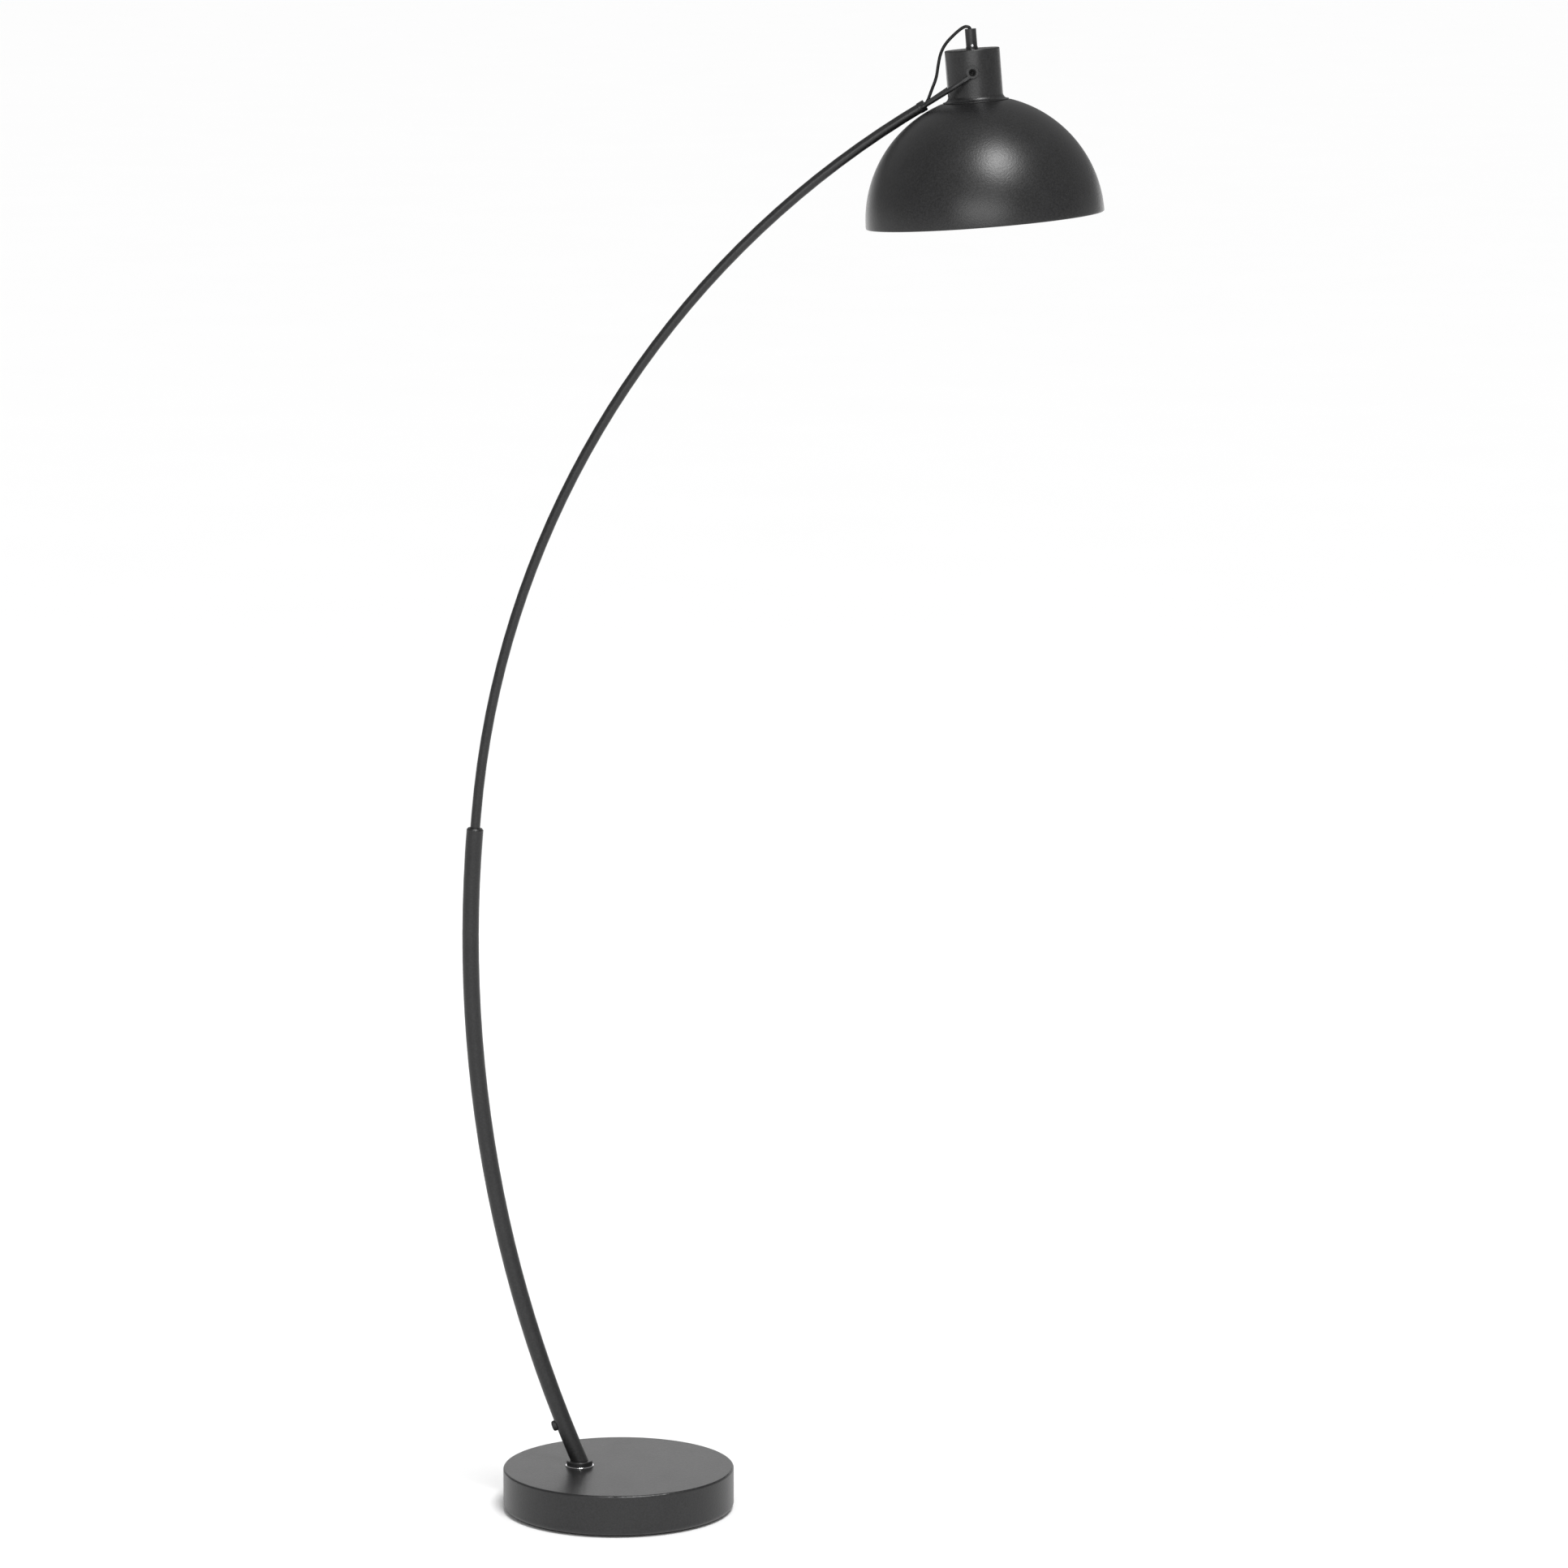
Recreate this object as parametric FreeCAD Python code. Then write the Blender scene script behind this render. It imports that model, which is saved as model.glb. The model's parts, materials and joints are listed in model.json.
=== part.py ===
import FreeCAD, Part
import math
import os

from FreeCAD import Vector

# Arc floor lamp, in millimetres. Z is up and X points from the pole towards the shade.
# The origin is on the floor under the middle of the base, and the whole arc lies in y = 0.

# ---- Fits ------------------------------------------------------------------------------
FIT = 0.05             # radial gap of a thread, a press fit or a curved seat
TUBE_FIT = 0.15        # radial gap of a plug or bush in a tube
RUNNING_FIT = 0.06     # radial gap of the tilt screws in the fork's eyes
SLIP_FIT = 0.5         # radial gap of a bolt in a clearance hole

# ---- Base ------------------------------------------------------------------------------
BASE_R = 121.0
BASE_TOP = 45.0        # height of the painted top above the floor
SHELL_WALL = 1.5
SHELL_TOP_ROUND = 2.0
SHELL_FOOT_ROUND = 5.5
SHELL_LIP = 15.0       # how far the turned-in lip reaches in from the side
PAD_THICK = 2.0
PAD_INSET = 9.0        # the pad stays this far inside the base's edge
BALLAST_THICK = 22.0
BALLAST_GAP = 4.5      # between the iron disc's edge and the shell's side
ACCESS_R = 16.0        # hole in pad and plate for the spanner
POCKET_R = 15.0
POCKET_DEPTH = 8.5
PLATE_SCREW_CIRCLE_R = 90.0
PLATE_SCREW_COUNT = 3
PLATE_SCREW_R = 1.5
PLATE_SCREW_HEAD_R = 2.8
PLATE_SCREW_LENGTH = 9.0

# ---- Foot of the pole ------------------------------------------------------------------
FOOT_X = -41.0
FOOT_BOLT_R = 4.0
FOOT_BOLT_FLATS = 13.0
FOOT_BOLT_HEAD = 5.3
FOOT_BOLT_WASHER_R = 8.0
FOOT_BOLT_WASHER_THICK = 1.6
FOOT_BOLT_BITE = 7.0   # thread inside the socket
SPACER_R = 10.0
TRIM_WASHER_R = 14.85
TRIM_WASHER_THICK = 1.0
SOCKET_R = 13.7
SOCKET_THICK = 5.0
SOCKET_BEVEL = 0.8
SOCKET_SPIGOT = 28.0

# ---- Pole: two tubes on one continuous line ----------------------------------------------
POLE_X = -38.7         # where the pole's line crosses the level of the base's top
FOOT_LEAN = -23.2      # degrees from upright, towards +X
LOWER_BEND_R = 1400.0
JOINT_LEAN = 5.1
LOWER_R = 8.75
LOWER_WALL = 1.4
JOINT_STRAIGHT = 16.0
UPPER_BEND_R = 949.0
END_LEAN = 59.42
UPPER_R = 5.12
UPPER_WALL = 1.05
INSERT_LENGTH = 60.0   # upper tube inside the lower one
BUSH_LENGTH = 30.0
BUSH_CAP = 1.8
BUSH_CAP_TOP_R = 7.1
BUSH_MOUTH = 0.5       # chamfer round the upper tube
JOINT_SCREW_R = 2.0
JOINT_SCREW_DROP = 15.0
JOINT_SCREW_FLATS = 2.0
JOINT_SCREW_SOCKET = 1.6

# ---- Cord and its fittings ---------------------------------------------------------------
CORD_R = 1.6
CORD_GAP = 0.15
GROMMET_RISE = 50.0    # along the pole, from the level of the base's top
GROMMET_R = 5.5
GROMMET_PROUD = 3.8
GROMMET_ROUND = 1.8
GROMMET_NECK_R = 3.6
GROMMET_LIP_R = 4.6
GROMMET_LIP = 1.0
LEAD_ELBOW_R = 3.4
LEAD_START = 2.0       # how deep the lead's outer end lies in the grommet
MOUTH_DEPTH = 5.0      # free cord inside the tube's end
END_BUSH_LENGTH = 6.0
CORNER_OVER_GRIP = 0.2  # the free cord turns just above the grip
CORNER_OVER_MOUTH = 1.6  # and again just outside the tube's end
# The free cord's other corners, from the grip to the tube's end: (x, z), y = 0.
HEAD_CORD_ROUTE = [
    (360.6, 1548.4),
    (356.3, 1548.5),
    (347.5, 1542.3),
    (336.6, 1531.4),
    (331.5, 1521.2),
    (329.3, 1509.0),
    (327.8, 1496.5),
    (322.8, 1483.6),
]

# ---- Fork ----------------------------------------------------------------------------------
FORK_REACH = 59.6      # tube end to tilt axis
FORK_RISE = 35.2       # degrees above level
ROD_RISE = 33.0
ROD_R = 2.6
ROD_BEND_R = 10.0
ROD_OVERLAP = 2.4      # rod welded beside the collar
ROD_WELD_DEPTH = 0.6
FLARE_START = 2.0
FLARE_END = 31.0
EYE_R = 6.2
EYE_THICK = 4.4
COLLAR_R = 5.7
COLLAR_LENGTH = 7.7
COLLAR_EDGE = 0.3

# ---- Head, drawn upright about its tilt axis, then leaned ------------------------------------
HEAD_LEAN = -4.67
NECK_R = 28.0
NECK_WALL = 1.0
NECK_TOP = 22.2
NECK_TOP_ROUND = 1.5
NECK_FOOT = -30.8
NECK_FLARE = 5.4
NECK_FLANGE_R = 33.7
SHADE_ARC_R = 126.5
SHADE_ARC_OFFSET = 5.0  # the dome's arc is struck this far past the axis
SHADE_RIM_DROP = 151.0  # from the tilt axis to the rim
SHADE_WALL = 1.0
SHADE_SHOULDER_R = 34.4
SHADE_HOLE_R = 24.0
HEM_THICK = 2.2
HEM_HEIGHT = 6.0

# ---- Tilt axis -------------------------------------------------------------------------------
TILT_SCREW_R = 2.0
TILT_HEAD_R = 3.6
TILT_HEAD = 3.4
TILT_SOCKET_FLATS = 3.0
TILT_SOCKET = 2.0
TILT_SPACER_R = 6.8
FORK_GAP = 3.0         # between the neck's side and the fork's eye
TILT_NUT_FLATS = 7.0
TILT_NUT = 4.0
TILT_SCREW_PAST_NUT = 0.8

# ---- Cord grip on the head ---------------------------------------------------------------------
GRIP_R = 5.75
GRIP_HEIGHT = 20.3
GRIP_FOOT_R = 6.1
GRIP_FOOT = 2.0
GRIP_ROUND = 0.5
GRIP_THREAD_DEPTH = 10.0
GRIP_MOUTH_R = 3.6
GRIP_MOUTH_DEPTH = 2.9
GRIP_SCREW_R = 1.25
GRIP_SCREW_RISE = 3.4
GRIP_SCREW_TURN = 8.0
GRIP_SCREW_PROUD = 0.4

# ---- Lamp holder and bulb ------------------------------------------------------------------------
NIPPLE_R = 4.0
NIPPLE_BORE_R = 2.4
NIPPLE_REACH = 13.5    # below the neck's inner top
NUT_FLATS = 13.0
NUT_THICK = 3.0
HOLDER_BOSS_R = 8.0
HOLDER_BOSS = 3.0
HOLDER_R = 19.5
HOLDER_WALL = 2.0
HOLDER_CAP = 21.0
HOLDER_CAP_ROUND = 5.0
HOLDER_BODY = 32.0
HOLDER_MOUTH_R = 14.6
INSERT_THICK = 6.0
TERMINAL_R = 9.0
TERMINAL_THICK = 8.0
SHELL_CONTACT_R = 14.0
SHELL_CONTACT_WALL = 0.5
SHELL_CONTACT = 21.0
CENTRE_CONTACT_R = 3.0
CENTRE_CONTACT = 1.5
BULB_CAP_R = 13.1
BULB_CAP = 23.5
BULB_TIP_R = 4.5
BULB_TIP = 1.5
BULB_GLASS_R = 30.0
BULB_DROP = 49.5       # from the cap's open end to the middle of the globe
GLASS_WALL = 1.0

# ---- Worked out from the sizes above ---------------------------------------------------------------
UP = Vector(0, 0, 1)
ALONG_Y = Vector(0, 1, 0)
ORIGIN = Vector(0, 0, 0)

PLATE_TOP = PAD_THICK + SHELL_WALL
BALLAST_TOP = PLATE_TOP + BALLAST_THICK
SHELL_INSIDE_TOP = BASE_TOP - SHELL_WALL
LIP_INNER_R = BASE_R - SHELL_LIP
BALLAST_R = BASE_R - SHELL_WALL - BALLAST_GAP
POCKET_TOP = PLATE_TOP + POCKET_DEPTH
SOCKET_BOTTOM = BASE_TOP + TRIM_WASHER_THICK
SOCKET_TOP = SOCKET_BOTTOM + SOCKET_THICK
LOWER_BORE_R = LOWER_R - LOWER_WALL
UPPER_BORE_R = UPPER_R - UPPER_WALL
CORD_BORE_R = CORD_R + CORD_GAP
ROD_Y_AT_COLLAR = COLLAR_R + ROD_R - ROD_WELD_DEPTH
EYE_INNER_Y = NECK_R + FORK_GAP
EYE_OUTER_Y = EYE_INNER_Y + EYE_THICK
EYE_MIDDLE_Y = EYE_INNER_Y + EYE_THICK / 2
NECK_BORE_R = NECK_R - NECK_WALL
NECK_INSIDE_TOP = NECK_TOP - NECK_WALL
GRIP_TOP = NECK_TOP + GRIP_HEIGHT
HOLDER_TOP = NECK_INSIDE_TOP - NUT_THICK - HOLDER_BOSS
HOLDER_SEAM = HOLDER_TOP + HOLDER_BOSS - HOLDER_CAP
INSERT_TOP = HOLDER_SEAM
INSERT_BOTTOM = INSERT_TOP - INSERT_THICK
BULB_CAP_TOP = INSERT_BOTTOM - CENTRE_CONTACT - BULB_TIP
BULB_CAP_BOTTOM = BULB_CAP_TOP - BULB_CAP


def tilted(angle):
    """Unit vector in the XZ plane that leans from upright towards +X."""
    lean = math.radians(angle)
    return Vector(math.sin(lean), 0, math.cos(lean))


# ---- Shapes ------------------------------------------------------------------------------------------
def rod(radius, start, direction, length):
    return Part.makeCylinder(radius, length, start, direction)


def ring(outer_r, inner_r, start, direction, length):
    body = rod(outer_r, start, direction, length)
    return body.cut(rod(inner_r, start - direction, direction, length + 2))


def hexagon(flats, start, direction, length):
    prism = Part.makePolygon(
        [
            Vector(
                flats / math.sqrt(3) * math.cos(math.radians(60 * corner)),
                flats / math.sqrt(3) * math.sin(math.radians(60 * corner)),
                0,
            )
            for corner in range(7)
        ]
    )
    prism = Part.Face(Part.Wire(prism.Edges)).extrude(Vector(0, 0, length))
    prism.Placement = FreeCAD.Placement(start, FreeCAD.Rotation(UP, direction))
    return prism


def rounded_wire(corners, radii):
    """Straight runs joined by tangent arcs. radii has one value for each inner corner."""
    edges = []
    start = corners[0]
    for before, corner, after, radius in zip(corners, corners[1:], corners[2:], radii):
        back = (before - corner).normalize()
        ahead = (after - corner).normalize()
        half = back.getAngle(ahead) / 2
        tangent = radius / math.tan(half)
        middle = (back + ahead).normalize() * (radius / math.sin(half) - radius)
        arc = Part.Arc(corner + back * tangent, corner + middle, corner + ahead * tangent)
        edges.append(Part.LineSegment(start, corner + back * tangent).toShape())
        edges.append(arc.toShape())
        start = corner + ahead * tangent
    edges.append(Part.LineSegment(start, corners[-1]).toShape())
    return Part.Wire(edges)


def swept_rod(path, radius):
    first = path.OrderedEdges[0]
    circle = Part.makeCircle(radius, first.firstVertex().Point, first.tangentAt(first.FirstParameter))
    return path.makePipeShell([Part.Wire(circle)], True, False)


def outline(*steps):
    """A closed face in the XZ plane. A step is a corner (x, z), a corner with its round
    (x, z, radius), or (x, z, "via"), which the run to the next corner passes as an arc."""
    edges = []
    count = len(steps)
    place = [Vector(step[0], 0, step[1]) for step in steps]
    leave = list(place)
    arrive = list(place)
    arcs = []
    for i, step in enumerate(steps):
        if len(step) == 3 and step[2] != "via":
            radius = step[2]
            back = (place[i - 1] - place[i]).normalize()
            ahead = (place[(i + 1) % count] - place[i]).normalize()
            half = back.getAngle(ahead) / 2
            arrive[i] = place[i] + back * (radius / math.tan(half))
            leave[i] = place[i] + ahead * (radius / math.tan(half))
            middle = (back + ahead).normalize() * (radius / math.sin(half) - radius)
            arcs.append((i, Part.Arc(arrive[i], place[i] + middle, leave[i]).toShape()))
    rounds = dict(arcs)
    for i, step in enumerate(steps):
        if len(step) == 3 and step[2] == "via":
            continue
        if i in rounds:
            edges.append(rounds[i])
        after = (i + 1) % count
        if len(steps[after]) == 3 and steps[after][2] == "via":
            end = (i + 2) % count
            edges.append(Part.Arc(leave[i], place[after], arrive[end]).toShape())
        elif leave[i].distanceToPoint(arrive[after]) > 1e-6:
            edges.append(Part.LineSegment(leave[i], arrive[after]).toShape())
    return Part.Face(Part.Wire(edges))


def lathe(*steps):
    return outline(*steps).revolve(ORIGIN, UP, 360)


class Bend:
    """A circular bend in the XZ plane. A place on it is named by its lean in degrees."""

    def __init__(self, start, lean, radius):
        self.radius = radius
        self.centre = start + tilted(lean + 90) * radius

    def point(self, lean):
        return self.centre - tilted(lean + 90) * self.radius

    def further(self, lean, length):
        return lean + math.degrees(length / self.radius)

    def rod(self, radius, lean, end_lean):
        face = Part.Face(Part.Wire(Part.makeCircle(radius, self.point(lean), tilted(lean))))
        return face.revolve(self.centre, ALONG_Y, end_lean - lean)

    def lean_at_height(self, height):
        return math.degrees(math.asin((height - self.centre.z) / self.radius))


lower_bend = Bend(Vector(POLE_X, 0, BASE_TOP), FOOT_LEAN, LOWER_BEND_R)
joint = lower_bend.point(JOINT_LEAN)
upper_start = joint + tilted(JOINT_LEAN) * JOINT_STRAIGHT
upper_bend = Bend(upper_start, JOINT_LEAN, UPPER_BEND_R)
tube_end = upper_bend.point(END_LEAN)
tube_axis = tilted(END_LEAN)
pivot = tube_end + tilted(90 - FORK_RISE) * FORK_REACH
bush_lean = lower_bend.further(JOINT_LEAN, -BUSH_LENGTH)
insert_lean = lower_bend.further(JOINT_LEAN, -INSERT_LENGTH)


def below(height):
    """Everything over the base's area that is lower than a height."""
    return Part.makeBox(2 * BASE_R, 2 * BASE_R, height, Vector(-BASE_R, -BASE_R, 0))


def on_head(shape):
    """Puts a head piece, drawn upright about the tilt axis, where it belongs."""
    shape.rotate(ORIGIN, ALONG_Y, HEAD_LEAN)
    shape.translate(pivot)
    return shape


# ---- Base ---------------------------------------------------------------------------------------------
def base_pad():
    pad = rod(BASE_R - PAD_INSET, ORIGIN, UP, PAD_THICK)
    return pad.cut(rod(ACCESS_R, Vector(FOOT_X, 0, -1), UP, PAD_THICK + 2))


def plate_screw_places():
    step = 360 / PLATE_SCREW_COUNT
    turns = [math.radians(step * number) for number in range(PLATE_SCREW_COUNT)]
    return [
        Vector(
            PLATE_SCREW_CIRCLE_R * math.cos(turn),
            PLATE_SCREW_CIRCLE_R * math.sin(turn),
            PAD_THICK,
        )
        for turn in turns
    ]


def plate_screw(place, gap):
    """Countersunk screw, or with a gap the hole that it sits in."""
    head_height = PLATE_SCREW_HEAD_R - PLATE_SCREW_R
    head = Part.makeCone(PLATE_SCREW_HEAD_R + gap, PLATE_SCREW_R + gap, head_height, place, UP)
    return head.fuse(rod(PLATE_SCREW_R + gap, place, UP, PLATE_SCREW_LENGTH + gap)).removeSplitter()


def base_plate():
    plate = rod(LIP_INNER_R - FIT, Vector(0, 0, PAD_THICK), UP, SHELL_WALL)
    plate = plate.cut(rod(ACCESS_R, Vector(FOOT_X, 0, 0), UP, BASE_TOP))
    for place in plate_screw_places():
        plate = plate.cut(plate_screw(place, FIT))
    return plate


def plate_screws():
    return Part.makeCompound([plate_screw(place, 0) for place in plate_screw_places()])


def base_ballast():
    disc = rod(BALLAST_R, Vector(0, 0, PLATE_TOP), UP, BALLAST_THICK)
    disc = disc.cut(rod(POCKET_R, Vector(FOOT_X, 0, 0), UP, POCKET_TOP))
    disc = disc.cut(rod(FOOT_BOLT_R + SLIP_FIT, Vector(FOOT_X, 0, 0), UP, BASE_TOP))
    for place in plate_screw_places():
        disc = disc.cut(plate_screw(place, FIT))
    return disc


def base_shell():
    inside_r = BASE_R - SHELL_WALL
    shell = lathe(
        (0, BASE_TOP),
        (BASE_R, BASE_TOP, SHELL_TOP_ROUND),
        (BASE_R, PAD_THICK, SHELL_FOOT_ROUND),
        (LIP_INNER_R, PAD_THICK),
        (LIP_INNER_R, PLATE_TOP),
        (inside_r, PLATE_TOP, SHELL_FOOT_ROUND - SHELL_WALL),
        (inside_r, SHELL_INSIDE_TOP, SHELL_TOP_ROUND - SHELL_WALL),
        (0, SHELL_INSIDE_TOP),
    )
    return shell.cut(rod(FOOT_BOLT_R + SLIP_FIT, Vector(FOOT_X, 0, BALLAST_TOP), UP, BASE_TOP))


# ---- Foot of the pole ------------------------------------------------------------------------------------
def foot_bolt():
    washer_bottom = POCKET_TOP - FOOT_BOLT_WASHER_THICK
    head = hexagon(
        FOOT_BOLT_FLATS, Vector(FOOT_X, 0, washer_bottom - FOOT_BOLT_HEAD), UP, FOOT_BOLT_HEAD
    )
    shank_length = SOCKET_BOTTOM + FOOT_BOLT_BITE - washer_bottom
    return head.fuse(rod(FOOT_BOLT_R, Vector(FOOT_X, 0, washer_bottom), UP, shank_length))


def foot_bolt_washer():
    start = Vector(FOOT_X, 0, POCKET_TOP - FOOT_BOLT_WASHER_THICK)
    hole_r = FOOT_BOLT_R + SLIP_FIT
    return ring(FOOT_BOLT_WASHER_R, hole_r, start, UP, FOOT_BOLT_WASHER_THICK)


def foot_spacer():
    start = Vector(FOOT_X, 0, BALLAST_TOP)
    return ring(SPACER_R, FOOT_BOLT_R + SLIP_FIT, start, UP, SHELL_INSIDE_TOP - BALLAST_TOP)


def foot_trim_washer():
    start = Vector(FOOT_X, 0, BASE_TOP)
    return ring(TRIM_WASHER_R, FOOT_BOLT_R + SLIP_FIT, start, UP, TRIM_WASHER_THICK)


def foot_socket():
    disc = lathe(
        (0, SOCKET_BOTTOM),
        (SOCKET_R, SOCKET_BOTTOM),
        (SOCKET_R, SOCKET_TOP - SOCKET_BEVEL),
        (SOCKET_R - SOCKET_BEVEL, SOCKET_TOP),
        (0, SOCKET_TOP),
    )
    disc.translate(Vector(FOOT_X, 0, 0))
    low = lower_bend.lean_at_height(SOCKET_BOTTOM + SOCKET_THICK / 2)
    spigot_end = lower_bend.further(low, SOCKET_SPIGOT)
    spigot = lower_bend.rod(LOWER_BORE_R - TUBE_FIT, low, spigot_end).cut(below(SOCKET_BOTTOM))
    socket = disc.fuse(spigot).removeSplitter()
    thread = rod(
        FOOT_BOLT_R + FIT, Vector(FOOT_X, 0, SOCKET_BOTTOM - 1), UP, FOOT_BOLT_BITE + 1 + SLIP_FIT
    )
    return socket.cut(thread)


# ---- Pole ------------------------------------------------------------------------------------
grommet_lean = lower_bend.further(FOOT_LEAN, GROMMET_RISE)
grommet_centre = lower_bend.point(grommet_lean)
grommet_out = tilted(grommet_lean - 90)


def joint_screw_centre():
    return lower_bend.point(lower_bend.further(JOINT_LEAN, -JOINT_SCREW_DROP))


def lower_tube():
    tube = lower_bend.rod(LOWER_R, FOOT_LEAN, JOINT_LEAN)
    start = lower_bend.further(FOOT_LEAN, -LOWER_R)
    end = lower_bend.further(JOINT_LEAN, LOWER_R)
    tube = tube.cut(lower_bend.rod(LOWER_BORE_R, start, end))
    tube = tube.cut(below(SOCKET_TOP))
    tube = tube.cut(rod(GROMMET_NECK_R + FIT, grommet_centre, grommet_out, 2 * LOWER_R))
    return tube.cut(rod(JOINT_SCREW_R + FIT, joint_screw_centre(), ALONG_Y, 2 * LOWER_R))


def joint_bush():
    spigot = lower_bend.rod(LOWER_BORE_R - TUBE_FIT, bush_lean, JOINT_LEAN)
    cap = Part.makeCone(LOWER_R, BUSH_CAP_TOP_R, BUSH_CAP, joint, tilted(JOINT_LEAN))
    bore_r = UPPER_R + FIT
    bore = lower_bend.rod(bore_r, insert_lean, JOINT_LEAN)
    bore = bore.fuse(rod(bore_r, joint, tilted(JOINT_LEAN), JOINT_STRAIGHT))
    up_tube = tilted(JOINT_LEAN)
    mouth_start = joint + up_tube * (BUSH_CAP - BUSH_MOUTH)
    mouth = Part.makeCone(bore_r, bore_r + 2 * BUSH_MOUTH, 2 * BUSH_MOUTH, mouth_start, up_tube)
    bush = spigot.fuse(cap).cut(bore).cut(mouth)
    return bush.cut(rod(JOINT_SCREW_R + FIT, joint_screw_centre(), ALONG_Y, 2 * LOWER_R))


def joint_screw():
    start = joint_screw_centre() + ALONG_Y * (UPPER_R + FIT)
    length = LOWER_R - UPPER_R - FIT
    screw = rod(JOINT_SCREW_R, start, ALONG_Y, length)
    socket_start = start + ALONG_Y * (length - JOINT_SCREW_SOCKET)
    return screw.cut(hexagon(JOINT_SCREW_FLATS, socket_start, ALONG_Y, 2 * JOINT_SCREW_SOCKET))


def upper_run(radius, spare=0.0):
    """A rod on the upper tube's line, from its end inside the lower tube to the fork."""
    start = lower_bend.further(insert_lean, -spare)
    low = lower_bend.rod(radius, start, JOINT_LEAN)
    middle = rod(radius, joint, tilted(JOINT_LEAN), JOINT_STRAIGHT)
    high = upper_bend.rod(radius, JOINT_LEAN, upper_bend.further(END_LEAN, spare))
    return low.fuse([middle, high]).removeSplitter()


def upper_tube():
    return upper_run(UPPER_R).cut(upper_run(UPPER_BORE_R, UPPER_R))


# ---- Cord and its fittings -------------------------------------------------------------------
def cable_grommet():
    """Rubber bush drawn along +Z from the pole's line, then turned to face outwards."""
    seat = LOWER_R - FIT
    lip_top = math.sqrt(LOWER_BORE_R**2 - GROMMET_LIP_R**2) - FIT
    face = LOWER_R + GROMMET_PROUD
    body = lathe(
        (CORD_BORE_R, lip_top - GROMMET_LIP),
        (GROMMET_LIP_R, lip_top - GROMMET_LIP),
        (GROMMET_LIP_R, lip_top),
        (GROMMET_NECK_R, lip_top),
        (GROMMET_NECK_R, seat - LOWER_WALL),
        (GROMMET_R, seat - LOWER_WALL),
        (GROMMET_R, face, GROMMET_ROUND),
        (CORD_BORE_R, face),
    )
    reach = Vector(-2 * LOWER_R, 0, 0)
    pole = rod(LOWER_R + FIT, reach, Vector(1, 0, 0), 4 * LOWER_R)
    inner_pole = rod(LOWER_BORE_R - FIT, reach, Vector(1, 0, 0), 4 * LOWER_R)
    neck = ring(GROMMET_NECK_R, CORD_BORE_R, ORIGIN, UP, face)
    neck = neck.common(pole).cut(rod(LOWER_R, ORIGIN, UP, lip_top))
    body = body.cut(pole.cut(inner_pole)).fuse(neck).removeSplitter()
    body.Placement = FreeCAD.Placement(grommet_centre, FreeCAD.Rotation(UP, grommet_out))
    return body


def arm_lead():
    """The lead in the pole: in through the grommet, a tight elbow, then up the tubes' line."""
    rise_lean = lower_bend.further(grommet_lean, LEAD_ELBOW_R)
    rise_start = lower_bend.point(rise_lean)
    elbow_centre = rise_start + tilted(rise_lean - 90) * LEAD_ELBOW_R
    elbow_start = elbow_centre - tilted(rise_lean) * LEAD_ELBOW_R
    length = LOWER_R + GROMMET_PROUD - LEAD_START - LEAD_ELBOW_R
    lead = rod(CORD_R, elbow_start, tilted(rise_lean - 90), length)
    face = Part.Face(Part.Wire(Part.makeCircle(CORD_R, rise_start, tilted(rise_lean))))
    elbow = face.revolve(elbow_centre, ALONG_Y, 90)
    low = lower_bend.rod(CORD_R, rise_lean, JOINT_LEAN)
    middle = rod(CORD_R, joint, tilted(JOINT_LEAN), JOINT_STRAIGHT)
    high = upper_bend.rod(CORD_R, JOINT_LEAN, upper_bend.further(END_LEAN, -MOUTH_DEPTH))
    return lead.fuse([elbow, low, middle, high]).removeSplitter()


def tube_end_bush():
    outer_end = upper_bend.further(END_LEAN, -MOUTH_DEPTH)
    inner_end = upper_bend.further(outer_end, -END_BUSH_LENGTH)
    bush = upper_bend.rod(UPPER_BORE_R - TUBE_FIT, inner_end, outer_end)
    return bush.cut(upper_bend.rod(CORD_BORE_R, inner_end, outer_end))


def head_cord():
    """The free cord, with each arc as large as its two runs allow."""
    head_axis = tilted(HEAD_LEAN)
    corners = [
        pivot + head_axis * (GRIP_TOP - GRIP_MOUTH_DEPTH),
        pivot + head_axis * (GRIP_TOP + CORNER_OVER_GRIP),
    ]
    corners += [Vector(x, 0, z) for x, z in HEAD_CORD_ROUTE]
    inner_lean = upper_bend.further(END_LEAN, -MOUTH_DEPTH)
    inner_end = upper_bend.point(inner_lean)
    corners.append(inner_end + tilted(inner_lean) * (MOUTH_DEPTH + CORNER_OVER_MOUTH))
    corners.append(inner_end)
    radii = []
    for before, corner, after in zip(corners, corners[1:], corners[2:]):
        turn = (corner - before).getAngle(after - corner)
        run = min((corner - before).Length, (after - corner).Length)
        radii.append(0.45 * run / math.tan(turn / 2))
    path = rounded_wire(corners, radii)
    cord = swept_rod(path, CORD_R)
    print("head cord corners:", [(round(corner.x, 2), round(corner.z, 2)) for corner in corners])
    print("head cord arc radii:", [round(radius, 1) for radius in radii])
    print("head cord length:", round(path.Length, 1))
    ideal = math.pi * CORD_R**2 * path.Length
    print("head cord volume over section times length:", round(cord.Volume / ideal, 4))
    return cord


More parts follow.
